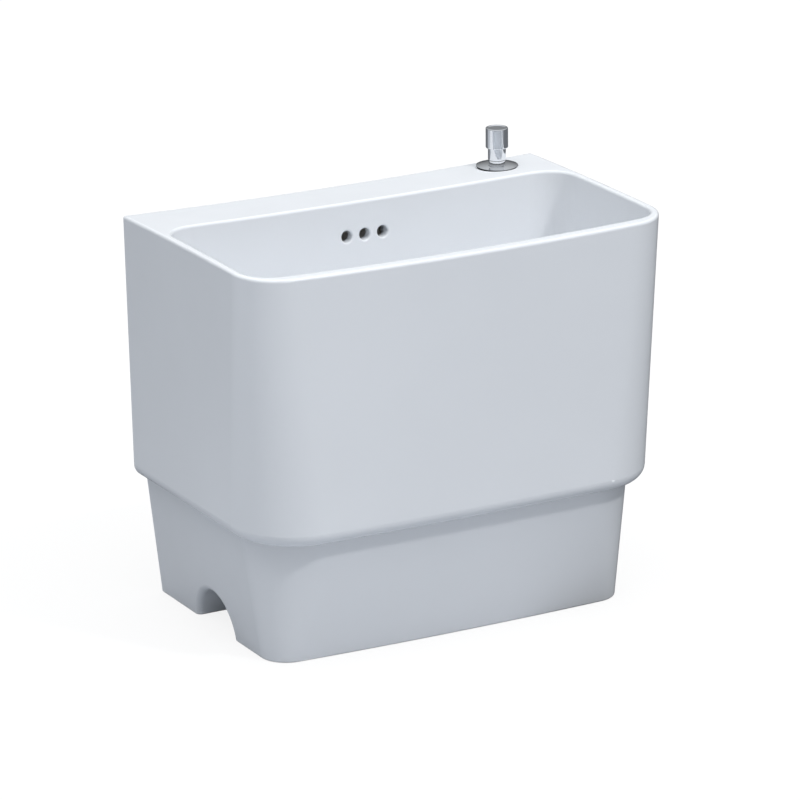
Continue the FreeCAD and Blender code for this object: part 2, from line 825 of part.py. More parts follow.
flange_base = drain_seat + s.flange_gasket_thickness
flange_top = flange_base + s.flange_thickness
waste_top = drain_seat - s.waste_seat_gap
neck_bottom = channel_top + s.neck_above_channel
socket_bottom = neck_bottom - s.neck_end_gap
cone_washer_bottom = boss_bottom - s.cone_washer_thickness
slip_washer_bottom = cone_washer_bottom - s.slip_washer_thickness
waste_nut_bottom = slip_washer_bottom - s.waste_nut_height
port_height = waste_nut_bottom - s.port_drop - s.pivot_nut_radius
waste_bottom = port_height - s.pivot_nut_radius - s.tail_nut_grip
tail_top = waste_bottom + s.tail_insert
tail_bottom = waste_bottom - s.tail_drop
tail_socket_top = waste_bottom + s.tail_socket
tail_seal_bottom = waste_bottom - s.tail_seal_thickness
tail_nut_bottom = tail_seal_bottom - s.tail_nut_floor


def ring(label, inner, outer, bottom, top, x=ZERO, y=None):
    """A plain ring between two heights, about the waste unless told otherwise."""
    profile = [(inner, bottom), (outer, bottom), (outer, top), (inner, top)]
    return turned(label, profile, x, drain_y if y is None else y, ZERO)


def nut(label, around, bore, height, x, y, z):
    blank = primitive("Prism", label + "_blank", Circumradius=around, Height=height)
    blank.Polygon = HEX_SIDES
    hole = primitive("Cylinder", label + "_bore", Radius=bore, Height=height + s.overrun * 2)
    locate(hole, ZERO, ZERO, -s.overrun)
    return locate(cut(label, blank, hole), x, y, z)


def make_drain_flange():
    edge = s.flange_edge
    profile = [
        (s.throat_radius, neck_bottom),
        (s.neck_radius, neck_bottom),
        (s.neck_radius, flange_base),
        (s.flange_radius, flange_base),
        (s.flange_radius, flange_top - edge),
        (s.flange_radius - edge, flange_top),
        (s.throat_top_radius, flange_top),
        (s.throat_radius, flange_top - s.throat_depth),
    ]
    return turned("drain_flange", profile, ZERO, drain_y, ZERO)


def make_drain_body():
    """The waste tube with its overflow windows and the side port for the pivot rod."""
    body = new_body("drain_body")
    profile = [
        (s.neck_radius, waste_top),
        (s.neck_radius, socket_bottom),
        (s.throat_radius, socket_bottom),
        (s.throat_radius, tail_socket_top),
        (s.tail_neck_radius, tail_socket_top),
        (s.tail_neck_radius, waste_bottom),
        (s.waste_radius, waste_bottom),
        (s.waste_radius, waste_top),
    ]
    spin(body, "Revolution", draw(new_sketch(body, "XZ_Plane"), profile))
    port = circle(new_sketch(body, "YZ_Plane", s.port_root), ZERO, port_height, s.port_radius)
    extrude(body, "Pad", port, s.port_reach - s.port_root)
    bore = circle(new_sketch(body, "YZ_Plane", s.port_reach), ZERO, port_height, s.port_bore_radius)
    extrude(body, "Pocket", bore, s.port_bore_depth)
    way = circle(new_sketch(body, "YZ_Plane", s.port_reach), ZERO, port_height, s.port_hole_radius)
    extrude(body, "Pocket", way, s.port_reach - s.throat_radius + s.overrun)
    half = s.window_width / 2
    window = [
        (-half, channel_bottom),
        (half, channel_bottom),
        (half, channel_top),
        (-half, channel_top),
    ]
    sketch = draw(new_sketch(body, "YZ_Plane", s.waste_radius + s.overrun), window)
    pocket = extrude(body, "Pocket", sketch, s.waste_radius - s.throat_radius + s.overrun * 2)
    pattern = body.newObject("PartDesign::PolarPattern", "drain_windows")
    pattern.Originals = [pocket]
    pattern.Axis = (next(item for item in body.Origin.OriginFeatures if item.Role == "Z_Axis"), [""])
    pattern.Angle = FULL_TURN
    pattern.Occurrences = WINDOW_COUNT
    body.Tip = pattern
    return locate(body, ZERO, drain_y, ZERO, heading)


def make_cone_washer():
    profile = [
        (s.waste_radius, cone_washer_bottom),
        (s.cone_washer_radius, cone_washer_bottom),
        (s.cone_washer_radius, boss_bottom - s.cone_washer_lip),
        (s.cone_washer_radius - s.cone_washer_lip, boss_bottom),
        (s.waste_radius, boss_bottom),
    ]
    return turned("cone_washer", profile, ZERO, drain_y, ZERO)


def make_tail():
    """The tailpiece, a little thinner above the end that a trap or hose takes, and what holds it."""
    inner = s.tail_radius - s.tail_wall
    connection_top = tail_bottom + s.tail_connection
    profile = [
        (inner, tail_bottom),
        (s.tail_radius, tail_bottom),
        (s.tail_radius, connection_top),
        (s.tail_neck_radius, connection_top),
        (s.tail_neck_radius, tail_top),
        (inner, tail_top),
    ]
    turned("tailpiece", profile, ZERO, drain_y, ZERO)
    ring("tail_seal", s.tail_neck_radius, s.waste_radius, tail_seal_bottom, waste_bottom)
    grip_top = waste_bottom + s.tail_nut_grip
    profile = [
        (s.tail_neck_radius + s.running_gap, tail_nut_bottom),
        (s.tail_nut_radius, tail_nut_bottom),
        (s.tail_nut_radius, grip_top),
        (s.waste_radius, grip_top),
        (s.waste_radius, tail_seal_bottom),
        (s.tail_neck_radius + s.running_gap, tail_seal_bottom),
    ]
    turned("tail_nut", profile, ZERO, drain_y, ZERO)


def make_waste():
    make_drain_flange()
    ring("flange_gasket", s.flange_gasket_inner_radius, s.flange_radius, drain_seat, flange_base)
    make_drain_body()
    make_cone_washer()
    ring("slip_washer", s.waste_radius, s.slip_washer_radius, slip_washer_bottom, cone_washer_bottom)
    nut("drain_locknut", s.waste_nut_radius, s.waste_radius, s.waste_nut_height, ZERO, drain_y,
        waste_nut_bottom)
    make_tail()


# Pivot rod and what holds it

ball_x, ball_y = at_reach(s.inner_arm)
rod_reach = root(outer_arm * outer_arm + half_travel * half_travel)


def lying(item, reach, y=ZERO, z=ZERO):
    """Lay a piece down along the rod's line, starting at a reach from the ball."""
    return locate(item, reach, y, z, along_x())


def ball_pocket(label):
    return primitive("Sphere", label + "_pocket", Radius=s.ball_radius + s.soft_gap)


def make_ball_seat():
    inner_end = s.port_reach - s.port_bore_depth - s.inner_arm
    blank = primitive("Cylinder", "seat_blank", Radius=s.port_bore_radius, Height=s.ball_seat_length)
    bore = primitive("Cylinder", "seat_bore", Radius=s.port_hole_radius,
                     Height=s.ball_seat_length + s.overrun * 2)
    lying(blank, inner_end)
    lying(bore, inner_end - s.overrun)
    seat = cut("ball_seat", cut("seat_ring", blank, bore), ball_pocket("seat"))
    return locate(seat, ball_x, ball_y, port_height, heading)


def make_pivot_nut():
    end = s.port_reach - s.inner_arm
    start = end - s.pivot_nut_grip
    blank = primitive("Prism", "pivot_nut_blank", Circumradius=s.pivot_nut_radius, Height=s.pivot_nut_length)
    blank.Polygon = HEX_SIDES
    thread = primitive("Cylinder", "pivot_nut_thread", Radius=s.port_radius, Height=s.pivot_nut_grip)
    spigot = primitive("Cylinder", "pivot_nut_spigot", Radius=s.port_bore_radius, Height=s.pivot_nut_spigot)
    bore = primitive("Cylinder", "pivot_nut_bore", Radius=s.pivot_nut_hole_radius,
                     Height=s.pivot_nut_length + s.overrun * 2)
    lying(blank, start)
    lying(thread, start)
    lying(spigot, end - s.pivot_nut_spigot)
    lying(bore, start - s.overrun)
    shell = fuse("pivot_nut_shell", cut("pivot_nut_cup", blank, thread), spigot)
    seated = cut("pivot_nut_seated", shell, ball_pocket("pivot_nut"))
    return locate(cut("pivot_nut", seated, bore), ball_x, ball_y, port_height, heading)


def make_pivot_ball():
    """A bead on the rod: a ball with the rod's bore through it."""
    half = root(s.ball_radius * s.ball_radius - s.pivot_rod_radius * s.pivot_rod_radius)
    profile = [(s.pivot_rod_radius, -half), (s.pivot_rod_radius, half)]
    bead = turned("pivot_ball", profile, ZERO, ZERO, ZERO, {1: (s.ball_radius, -1)})
    return locate(bead, ball_x, ball_y, port_height, rod_turn * along_x())


def make_pivot_rod():
    body = new_body("pivot_rod")
    start = s.inner_arm + s.pivot_rod_inner_end
    section = circle(new_sketch(body, "YZ_Plane", -start), ZERO, ZERO, s.pivot_rod_radius)
    extrude(body, "Pad", section, start + rod_reach + s.pivot_rod_outer_end)
    ease(body, "Chamfer", s.loose_gap, lambda edge: edge.BoundBox.XLength < NEAR)
    return locate(body, ball_x, ball_y, port_height, rod_turn)


def make_spring_clip():
    """A bent strip with a leg on each side of the strap, gripping the rod in both."""
    wide = s.clip_half_length * 2
    room = wide - s.clip_thickness * 2
    far = s.strap_width / 2 + s.clip_bridge
    near = -s.clip_half_length
    tall = s.clip_half_height * 2
    outer = primitive("Box", "clip_outer", Length=wide, Width=far - near, Height=tall)
    inner = primitive("Box", "clip_inner", Length=room, Width=far - near - s.clip_thickness + s.overrun,
                      Height=tall + s.overrun * 2)
    bore = primitive("Cylinder", "clip_bore", Radius=s.pivot_rod_radius, Height=wide + s.overrun * 2)
    locate(outer, rod_reach - s.clip_half_length, near, -s.clip_half_height)
    locate(inner, rod_reach - room / 2, near - s.overrun, -s.clip_half_height - s.overrun)
    lying(bore, rod_reach - s.clip_half_length - s.overrun)
    clip = cut("spring_clip", cut("clip_strip", outer, inner), bore)
    return locate(clip, ball_x, ball_y, port_height, rod_turn)


# Stopper, shown open as it stands when the knob is down

stopper_base = flange_top + s.soft_gap + stopper_lift
eye_height = port_height + eye_rise
stem_fin_bottom = eye_height + s.eye_to_fins


def make_stopper_cap():
    edge = s.stopper_edge
    top = stopper_base + s.stopper_thickness
    shoulder = s.stopper_radius - edge
    dome = (shoulder * shoulder + s.stopper_crown * s.stopper_crown) / (s.stopper_crown * 2)
    profile = [
        (s.stem_radius, stopper_base - s.stopper_spigot_length),
        (s.stopper_spigot_radius, stopper_base - s.stopper_spigot_length),
        (s.stopper_spigot_radius, stopper_base),
        (shoulder, stopper_base),
        (s.stopper_radius, stopper_base + edge),
        (s.stopper_radius, top - edge),
        (shoulder, top),
        (ZERO, top + s.stopper_crown),
        (ZERO, stopper_base),
        (s.stem_radius, stopper_base),
    ]
    return turned("stopper_cap", profile, ZERO, drain_y, ZERO, {6: (dome, 1)})


def make_stopper_stem():
    """The guide below the cap: a round stem, a cross of fins, and an eye for the pivot rod."""
    body = new_body("stopper_stem")
    stem = circle(new_sketch(body, "XY_Plane", stem_fin_bottom), ZERO, ZERO, s.stem_radius)
    extrude(body, "Pad", stem, stopper_base - stem_fin_bottom)
    reach = s.stem_fin_radius
    half = s.stem_fin_thickness / 2
    cross = [
        (reach, -half), (reach, half), (half, half), (half, reach), (-half, reach), (-half, half),
        (-reach, half), (-reach, -half), (-half, -half), (-half, -reach), (half, -reach), (half, -half),
    ]
    extrude(body, "Pad", draw(new_sketch(body, "XY_Plane", stem_fin_bottom), cross), s.stem_fin_height)
    half = s.eye_width / 2
    deep = s.eye_thickness / 2
    bottom = eye_height - s.eye_end
    plate = [(-deep, -half), (deep, -half), (deep, half), (-deep, half)]
    extrude(body, "Pad", draw(new_sketch(body, "XY_Plane", bottom), plate), stem_fin_bottom - bottom)
    eye = circle(new_sketch(body, "YZ_Plane"), ZERO, eye_height, s.eye_radius)
    extrude(body, "Pocket", eye, s.eye_thickness * 2, both=True)
    return locate(body, ZERO, drain_y, ZERO, heading)


def make_stopper():
    make_stopper_cap()
    seal_share = (s.seal_thickness - s.soft_gap) / s.throat_depth
    seal_radius = s.throat_top_radius - (s.throat_top_radius - s.throat_radius) * seal_share - s.soft_gap
    ring("stopper_seal", s.stopper_spigot_radius, seal_radius, stopper_base - s.seal_thickness, stopper_base)
    make_stopper_stem()


# Knob, lift rod and strap, shown down as they stand when the stopper is open

escutcheon_base = land + s.deck_gasket_thickness
boss_top = escutcheon_base + s.boss_height
sleeve_bottom = boss_top + s.soft_gap
cap_bottom = sleeve_bottom + s.sleeve_height
deck_washer_bottom = deck_underside - s.deck_washer_thickness
shank_bottom = deck_washer_bottom - s.deck_nut_height - s.shank_tail
first_hole = port_height - half_travel
strap_bottom = first_hole - s.strap_end
strap_top = strap_bottom + s.strap_length
block_bottom = strap_top - s.block_below
block_top = block_bottom + s.block_height
screw_height = block_top - s.screw_drop


def make_strap():
    """A flat bar with a row of holes, topped by a block that clamps the lift rod."""
    body = new_body("clevis_strap")
    half = s.strap_width / 2
    bar = [(-half, strap_bottom), (half, strap_bottom), (half, strap_top), (-half, strap_top)]
    extrude(body, "Pad", draw(new_sketch(body, "YZ_Plane"), bar), s.strap_thickness, both=True)
    half = s.block_side / 2
    square = [(-half, -half), (half, -half), (half, half), (-half, half)]
    extrude(body, "Pad", draw(new_sketch(body, "XY_Plane", block_bottom), square), s.block_height)
    bore = circle(new_sketch(body, "XY_Plane", block_top), ZERO, ZERO, s.lift_rod_radius)
    extrude(body, "Pocket", bore, block_top - strap_top)
    screw = circle(new_sketch(body, "YZ_Plane", -half), ZERO, screw_height, s.screw_radius)
    extrude(body, "Pocket", screw, half, back=True)
    row_of_holes = new_sketch(body, "YZ_Plane")
    for count in range(STRAP_HOLES):
        circle(row_of_holes, ZERO, first_hole + s.strap_hole_pitch * count, s.strap_hole_radius)
    extrude(body, "Pocket", row_of_holes, s.strap_thickness * 2, both=True)
    return locate(body, knob_x, knob_y, ZERO, heading)


def make_clevis_screw():
    face = s.block_side / 2
    end = face + s.screw_head_length
    edge = s.loose_gap
    profile = [
        (ZERO, s.lift_rod_radius),
        (s.screw_radius, s.lift_rod_radius),
        (s.screw_radius, face),
        (s.screw_head_radius, face),
        (s.screw_head_radius, end - edge),
        (s.screw_head_radius - edge, end),
        (ZERO, end),
    ]
    sideways = heading * FreeCAD.Rotation(FreeCAD.Vector(0, 1, 0), -FULL_TURN / 4)
    screw = turned("clevis_screw", profile, ZERO, ZERO, ZERO)
    return locate(screw, knob_x, knob_y, screw_height, sideways)


def make_escutcheon():
    """A thin domed disc with a short boss; the threaded guide comes up through it."""
    profile = [
        (s.shank_radius, escutcheon_base),
        (s.escutcheon_radius - s.escutcheon_edge, escutcheon_base),
        (s.escutcheon_radius, escutcheon_base + s.escutcheon_edge),
        (s.boss_radius, escutcheon_base + s.escutcheon_rise),
        (s.boss_radius, boss_top),
        (s.shank_radius, boss_top),
    ]
    return turned("escutcheon", profile, knob_x, knob_y, ZERO, {2: (s.escutcheon_dome_radius, 1)})


def make_sleeve():
    edge = s.sleeve_edge
    profile = [
        (s.lift_rod_radius, sleeve_bottom),
        (s.sleeve_radius - edge, sleeve_bottom),
        (s.sleeve_radius, sleeve_bottom + edge),
        (s.sleeve_radius, cap_bottom),
        (s.lift_rod_radius, cap_bottom),
    ]
    return turned("knob_sleeve", profile, knob_x, knob_y, ZERO)


def make_cap():
    """The knob itself, with a raised rim round a shallow recess in its flat top."""
    edge = s.cap_edge
    top = cap_bottom + s.cap_height
    profile = [
        (s.lift_rod_radius, cap_bottom),
        (s.cap_radius - edge, cap_bottom),
        (s.cap_radius, cap_bottom + edge),
        (s.cap_radius, top - edge),
        (s.cap_radius - edge, top),
        (s.cap_ring_radius + s.cap_ring_width, top),
        (s.cap_ring_radius, top - s.cap_recess),
        (ZERO, top - s.cap_recess),
        (ZERO, cap_bottom + s.cap_bore_depth),
        (s.lift_rod_radius, cap_bottom + s.cap_bore_depth),
    ]
    return turned("knob_cap", profile, knob_x, knob_y, ZERO, {1: (edge, 1), 3: (edge, 1)})


def make_lift_rod():
    rod_top = cap_bottom + s.cap_bore_depth
    profile = [
        (ZERO, strap_top),
        (s.lift_rod_radius, strap_top),
        (s.lift_rod_radius, rod_top),
        (ZERO, rod_top),
    ]
    return turned("lift_rod", profile, knob_x, knob_y, ZERO)


def make_knob():
    make_escutcheon()
    ring("deck_gasket", s.shank_radius, s.deck_gasket_radius, land, escutcheon_base, knob_x, knob_y)
    ring("guide_shank", s.shank_bore_radius, s.shank_radius, shank_bottom, boss_top, knob_x, knob_y)
    ring("guide_bush", s.lift_rod_radius + s.running_gap, s.shank_bore_radius, shank_bottom, boss_top,
         knob_x, knob_y)
    ring("deck_washer", s.shank_radius, s.deck_washer_radius, deck_washer_bottom, deck_underside,
         knob_x, knob_y)
    nut("deck_locknut", s.deck_nut_radius, s.shank_radius, s.deck_nut_height, knob_x, knob_y,
        deck_washer_bottom - s.deck_nut_height)
    make_sleeve()
    make_cap()
    make_lift_rod()
    make_strap()
    make_clevis_screw()


# Build, check and write

NODES = [
    "tub", "pedestal", "bedding_joint",
    "drain_flange", "flange_gasket", "drain_body", "cone_washer", "slip_washer", "drain_locknut",
    "tailpiece", "tail_seal", "tail_nut",
    "ball_seat", "pivot_nut", "pivot_ball", "pivot_rod", "spring_clip",
    "stopper_cap", "stopper_seal", "stopper_stem",
    "escutcheon", "deck_gasket", "guide_shank", "guide_bush", "deck_washer", "deck_locknut",
    "knob_sleeve", "knob_cap", "lift_rod", "clevis_strap", "clevis_screw",
]

make_tub()
make_pedestal()
make_bedding()
make_waste()
make_ball_seat()
make_pivot_nut()
make_pivot_ball()
make_pivot_rod()
make_spring_clip()
make_stopper()
make_knob()
doc.recompute()

for item in doc.Objects:
    if "Invalid" in item.State or "Error" in item.State:
        raise RuntimeError("%s failed: %s" % (item.Label, item.State))

pieces = []
for label in NODES:
    piece = doc.getObjectsByLabel(label)[0]
    if piece.Shape.isNull() or not piece.Shape.isValid():
        raise RuntimeError("%s has no valid shape" % label)
    if len(piece.Shape.Solids) != 1:
        raise RuntimeError("%s is %d solids" % (label, len(piece.Shape.Solids)))
    pieces.append(piece)

os.makedirs("parts", exist_ok=True)
for piece in pieces:
    piece.Shape.exportStep("parts/%s.step" % piece.Label)
    print("%-16s %12.1f mm3" % (piece.Label, piece.Shape.Volume))
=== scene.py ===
import json
import math

import bpy
from mathutils import Matrix, Vector


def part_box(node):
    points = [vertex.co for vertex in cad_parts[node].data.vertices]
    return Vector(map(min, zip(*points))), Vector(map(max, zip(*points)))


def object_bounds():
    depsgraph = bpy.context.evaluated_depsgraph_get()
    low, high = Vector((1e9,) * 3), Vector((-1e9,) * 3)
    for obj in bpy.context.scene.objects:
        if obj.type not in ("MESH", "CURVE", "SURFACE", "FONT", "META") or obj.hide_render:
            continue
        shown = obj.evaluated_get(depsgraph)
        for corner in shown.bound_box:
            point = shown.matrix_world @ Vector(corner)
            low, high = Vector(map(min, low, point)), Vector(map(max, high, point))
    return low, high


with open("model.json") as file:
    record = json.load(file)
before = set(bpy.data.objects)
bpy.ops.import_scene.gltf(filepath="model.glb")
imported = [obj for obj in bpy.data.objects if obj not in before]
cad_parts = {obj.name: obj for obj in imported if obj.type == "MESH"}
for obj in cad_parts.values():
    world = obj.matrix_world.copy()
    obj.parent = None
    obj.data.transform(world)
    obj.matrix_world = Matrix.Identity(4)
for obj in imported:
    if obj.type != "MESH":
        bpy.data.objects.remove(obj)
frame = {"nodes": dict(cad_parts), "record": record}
cad_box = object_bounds()

# Glaze, bare clay, metals and soft materials, as linear colours
GLAZE = (0.88, 0.90, 0.93)
BISCUIT = (0.70, 0.665, 0.60)
SEALANT = (0.66, 0.66, 0.65)
CHROME = (0.85, 0.86, 0.88)
BRASS = (0.66, 0.47, 0.20)
STEEL = (0.56, 0.565, 0.57)
RUBBER = (0.022, 0.022, 0.024)
PLASTIC = (0.74, 0.73, 0.69)

# How light bends in the glaze, how strong the clay's grain is, and how light spreads under the
# skin of white plastic and sealant
GLAZE_IOR = 1.52
CLAY_GRAIN = 0.35
SPREAD_WEIGHT = 0.3
SPREAD_COLOUR = (1.0, 0.9, 0.75)

# Edges of the glaze, read from the frame, in metres
FOOT = cad_box[0].z
BACK = cad_box[1].y
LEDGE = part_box("bedding_joint")[1].z
PEDESTAL_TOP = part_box("pedestal")[1].z
DECK_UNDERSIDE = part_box("deck_washer")[1].z

# How far before each edge the glaze starts to thin out and where the clay is bare, in metres
FOOT_FADE = (0.0012, 0.0006)
BACK_FADE = (0.0006, 0.0001)
LEDGE_FADE = (0.0003, 0.0001)
PEDESTAL_TOP_FADE = (0.0004, 0.0001)
DECK_FADE = (0.0008, 0.0002)

# The basin's rear wall leans back. The plane in the middle of its thickness is WALL_FOOT behind
# the middle of the depth at floor level, and WALL_LEAN further back per metre of height. The
# glaze ends over WALL_FADE behind this plane, along a line as ragged as RAGGED_EDGE.
WALL_FOOT = 0.0517
WALL_LEAN = 0.1015
WALL_FADE = (0.0, 0.001)
RAGGED_EDGE = 0.004

# Planes within the side walls of the hollow and within those of the duct, as distances from the
# middle of the width, and how far behind the rear wall's plane the duct stays glazed
HOLLOW_SIDES = (0.2700, 0.2692)
DUCT_SIDES = (0.0356, 0.0352)
DUCT_DEPTH = 0.019

# Bounds just outside the passage of the hose notch: its middle along the depth, its sides as
# distances from there, and the top and the inner end of its sleeve
NOTCH_MIDDLE = 0.033
NOTCH_SIDES = (0.0485, 0.0481)
NOTCH_TOP = (0.0565, 0.056)
NOTCH_END = (-0.1872, -0.1878)

# A point inside the pedestal, as a distance behind the middle of the depth. A wall is glazed
# where it faces away from this point, and bare where it faces it from as far as the fade's end.
PEDESTAL_CORE = 0.06
INWARD_FADE = (0.0, -0.01)

# The part of a noise that is stretched over a whole range: narrower for the glaze's faint cloud,
# and wider on metal, where a share of a second noise is added to the marks
NOISE_MIDDLE = 0.5
NOISE_RANGE = (0.3, 0.7)
CLOUD_RANGE = (0.35, 0.65)
METAL_RANGE = (0.3, 0.95)
METAL_CLOUD_SHARE = 0.3

# Sockets of the mix node by number, because its colours and its numbers share their names
MIX_COLOURS = (6, 7)
MIX_COLOUR_RESULT = 2
MIX_NUMBERS = (2, 3)
MIX_NUMBER_RESULT = 0

# The studio: white as the camera sees it, the tints of the sky and the floor, and the gap under
# the sink. The floor throws back more light on the side that FLOOR_BRIGHT_SIDE points to, and
# FLOOR_TURN holds the cosines between which it turns from dark to bright.
WHITE = (1.0, 1.0, 1.0)
SKY = (0.93, 0.965, 1.0)
FLOOR_TINT = (0.95, 0.99, 1.06)
FLOOR_GAP = 0.0002
FLOOR_BRIGHT_SIDE = (-0.74, -0.67, 0.0)
FLOOR_TURN = (-0.35, 0.25)


# Shader helpers

def new_material(name):
    """A material with its node tree and its surface shader."""
    material = bpy.data.materials.new(name)
    material.use_nodes = True
    tree = material.node_tree
    shader = tree.nodes["Principled BSDF"]
    return material, tree, shader


def node(tree, kind, values=None, **settings):
    """A new node with settings on itself and plain values or links on its sockets."""
    made = tree.nodes.new(kind)
    for key, value in settings.items():
        setattr(made, key, value)
    for key, value in (values or {}).items():
        if isinstance(value, bpy.types.NodeSocket):
            tree.links.new(value, made.inputs[key])
        else:
            made.inputs[key].default_value = value
    return made


def maths(tree, operation, *values):
    """The result of one operation on numbers or links."""
    return node(tree, "ShaderNodeMath", dict(enumerate(values)), operation=operation).outputs[0]


def noise(tree, where, scale, detail=3.0, roughness=0.5):
    """A soft random cloud, with about as many features to a metre as its scale says."""
    values = {"Vector": where, "Scale": scale, "Detail": detail, "Roughness": roughness}
    return node(tree, "ShaderNodeTexNoise", values).outputs["Fac"]


def ramp(tree, value, low, high, out_low=0.0, out_high=1.0):
    """A value carried smoothly from one range to another."""
    values = {"Value": value, "From Min": low, "From Max": high, "To Min": out_low, "To Max": out_high}
    return node(tree, "ShaderNodeMapRange", values, interpolation_type="SMOOTHSTEP").outputs["Result"]


def blend_colour(tree, share, first, second):
    """The first colour where share is none, and the second where it is one."""
    made = node(tree, "ShaderNodeMix", {"Factor": share}, data_type="RGBA")
    for number, colour in zip(MIX_COLOURS, (first, second)):
        socket = made.inputs[number]
        if isinstance(colour, bpy.types.NodeSocket):
            tree.links.new(colour, socket)
        else:
            socket.default_value = opaque(colour)
    return made.outputs[MIX_COLOUR_RESULT]


def blend_number(tree, share, first, second):
    """The first number where share is none, and the second where it is one."""
    values = {"Factor": share, **dict(zip(MIX_NUMBERS, (first, second)))}
    return node(tree, "ShaderNodeMix", values, data_type="FLOAT").outputs[MIX_NUMBER_RESULT]


def opaque(colour):
    """A colour with full cover, as the sockets take it."""
    return (*colour, 1.0)


def shade(colour, factor):
    """A colour that is darker or lighter by a factor."""
    return tuple(channel * factor for channel in colour)


def mottled(tree, cloud, colour, dark, light):
    """A colour that drifts between a darker and a lighter shade of itself."""
    return blend_colour(tree, cloud, shade(colour, dark), shade(colour, light))


def bump(tree, height, strength, distance, below=None):
    """The surface's direction, tilted by a height and added to the bump below it."""
    values = {"Height": height, "Strength": strength, "Distance": distance}
    if below is not None:
        values["Normal"] = below
    return node(tree, "ShaderNodeBump", values).outputs["Normal"]


def coordinates(tree, kind="Object"):
    """Where a point is: on the object in metres, unless another kind is asked for."""
    return node(tree, "ShaderNodeTexCoord").outputs[kind]


def past_edge(tree, gap, fade):
    """One beyond an edge and none well before it, from the gap that is left to it."""
    return ramp(tree, gap, *fade)


# Ceramic

def ceramic(name, bare):
    """White glaze, with the bare body of the clay where bare(tree, x, y, z) says so."""
    material, tree, shader = new_material(name)
    where = coordinates(tree)
    axes = node(tree, "ShaderNodeSeparateXYZ", {"Vector": where}).outputs
    share = bare(tree, *axes)
    cloud = ramp(tree, noise(tree, where, scale=5.0, detail=2.0), *CLOUD_RANGE)
    speckle = noise(tree, where, scale=900.0, detail=2.0)
    glaze = mottled(tree, cloud, GLAZE, dark=0.985, light=1.0)
    clay = mottled(tree, speckle, BISCUIT, dark=0.9, light=1.06)
    tree.links.new(blend_colour(tree, share, glaze, clay), shader.inputs["Base Color"])
    gloss = ramp(tree, noise(tree, where, scale=22.0, detail=4.0), *NOISE_RANGE, out_low=0.09, out_high=0.16)
    dull = ramp(tree, speckle, *NOISE_RANGE, out_low=0.62, out_high=0.78)
    tree.links.new(blend_number(tree, share, gloss, dull), shader.inputs["Roughness"])
    shader.inputs["IOR"].default_value = GLAZE_IOR
    waves = bump(tree, noise(tree, where, scale=9.0, detail=2.0), strength=0.16, distance=0.004)
    dimples = noise(tree, where, scale=260.0, detail=2.0)
    peel = bump(tree, dimples, strength=0.05, distance=0.0004, below=waves)
    strength = maths(tree, "MULTIPLY", share, CLAY_GRAIN)
    grain = bump(tree, speckle, strength, distance=0.0005, below=peel)
    tree.links.new(grain, shader.inputs["Normal"])
    return material


def tub_bare(tree, x, y, z):
    """The hollow behind the basin, the underside and the back face are left unglazed, and so is
    the rear of the duct behind the overflow holes, while the rest of its inside is glazed."""
    uneven = maths(tree, "SUBTRACT", noise(tree, coordinates(tree), scale=60.0), NOISE_MIDDLE)
    ragged_y = maths(tree, "ADD", y, maths(tree, "MULTIPLY", uneven, RAGGED_EDGE))
    aside = maths(tree, "ABSOLUTE", x)
    wall = maths(tree, "MULTIPLY_ADD", z, WALL_LEAN, WALL_FOOT)
    duct = maths(tree, "MULTIPLY", ramp(tree, aside, *DUCT_SIDES), DUCT_DEPTH)
    glazed_to = maths(tree, "ADD", wall, duct)
    behind = ramp(tree, maths(tree, "SUBTRACT", ragged_y, glazed_to), *WALL_FADE)
    under_deck = past_edge(tree, maths(tree, "SUBTRACT", z, DECK_UNDERSIDE), DECK_FADE)
    between = maths(tree, "MULTIPLY", under_deck, ramp(tree, aside, *HOLLOW_SIDES))
    hollow = maths(tree, "MULTIPLY", behind, between)
    below = past_edge(tree, maths(tree, "SUBTRACT", z, LEDGE), LEDGE_FADE)
    rear_face = past_edge(tree, maths(tree, "SUBTRACT", BACK, ragged_y), BACK_FADE)
    return maths(tree, "MAXIMUM", maths(tree, "MAXIMUM", hollow, below), rear_face)


def notch_glazed(tree, x, y, z):
    """One on the inside of the sleeve that the hose passes through."""
    aside = maths(tree, "ABSOLUTE", maths(tree, "SUBTRACT", y, NOTCH_MIDDLE))
    within = maths(tree, "MULTIPLY", ramp(tree, x, *NOTCH_END), ramp(tree, z, *NOTCH_TOP))
    return maths(tree, "MULTIPLY", within, ramp(tree, aside, *NOTCH_SIDES))


def pedestal_bare(tree, x, y, z):
    """The inside of the pedestal, its top and the ring it stands on are left unglazed."""
    normal = node(tree, "ShaderNodeNewGeometry").outputs["Normal"]
    behind_core = maths(tree, "SUBTRACT", y, PEDESTAL_CORE)
    outward = node(tree, "ShaderNodeCombineXYZ", {"X": x, "Y": behind_core}).outputs[0]
    facing = node(tree, "ShaderNodeVectorMath", {0: normal, 1: outward}, operation="DOT_PRODUCT")
    inner = ramp(tree, facing.outputs["Value"], *INWARD_FADE)
    unglazed = maths(tree, "SUBTRACT", 1.0, notch_glazed(tree, x, y, z))
    inner = maths(tree, "MULTIPLY", inner, unglazed)
    foot = past_edge(tree, maths(tree, "SUBTRACT", z, FOOT), FOOT_FADE)
    top = past_edge(tree, maths(tree, "SUBTRACT", PEDESTAL_TOP, z), PEDESTAL_TOP_FADE)
    return maths(tree, "MAXIMUM", maths(tree, "MAXIMUM", inner, foot), top)


# Metals, rubber and plastic

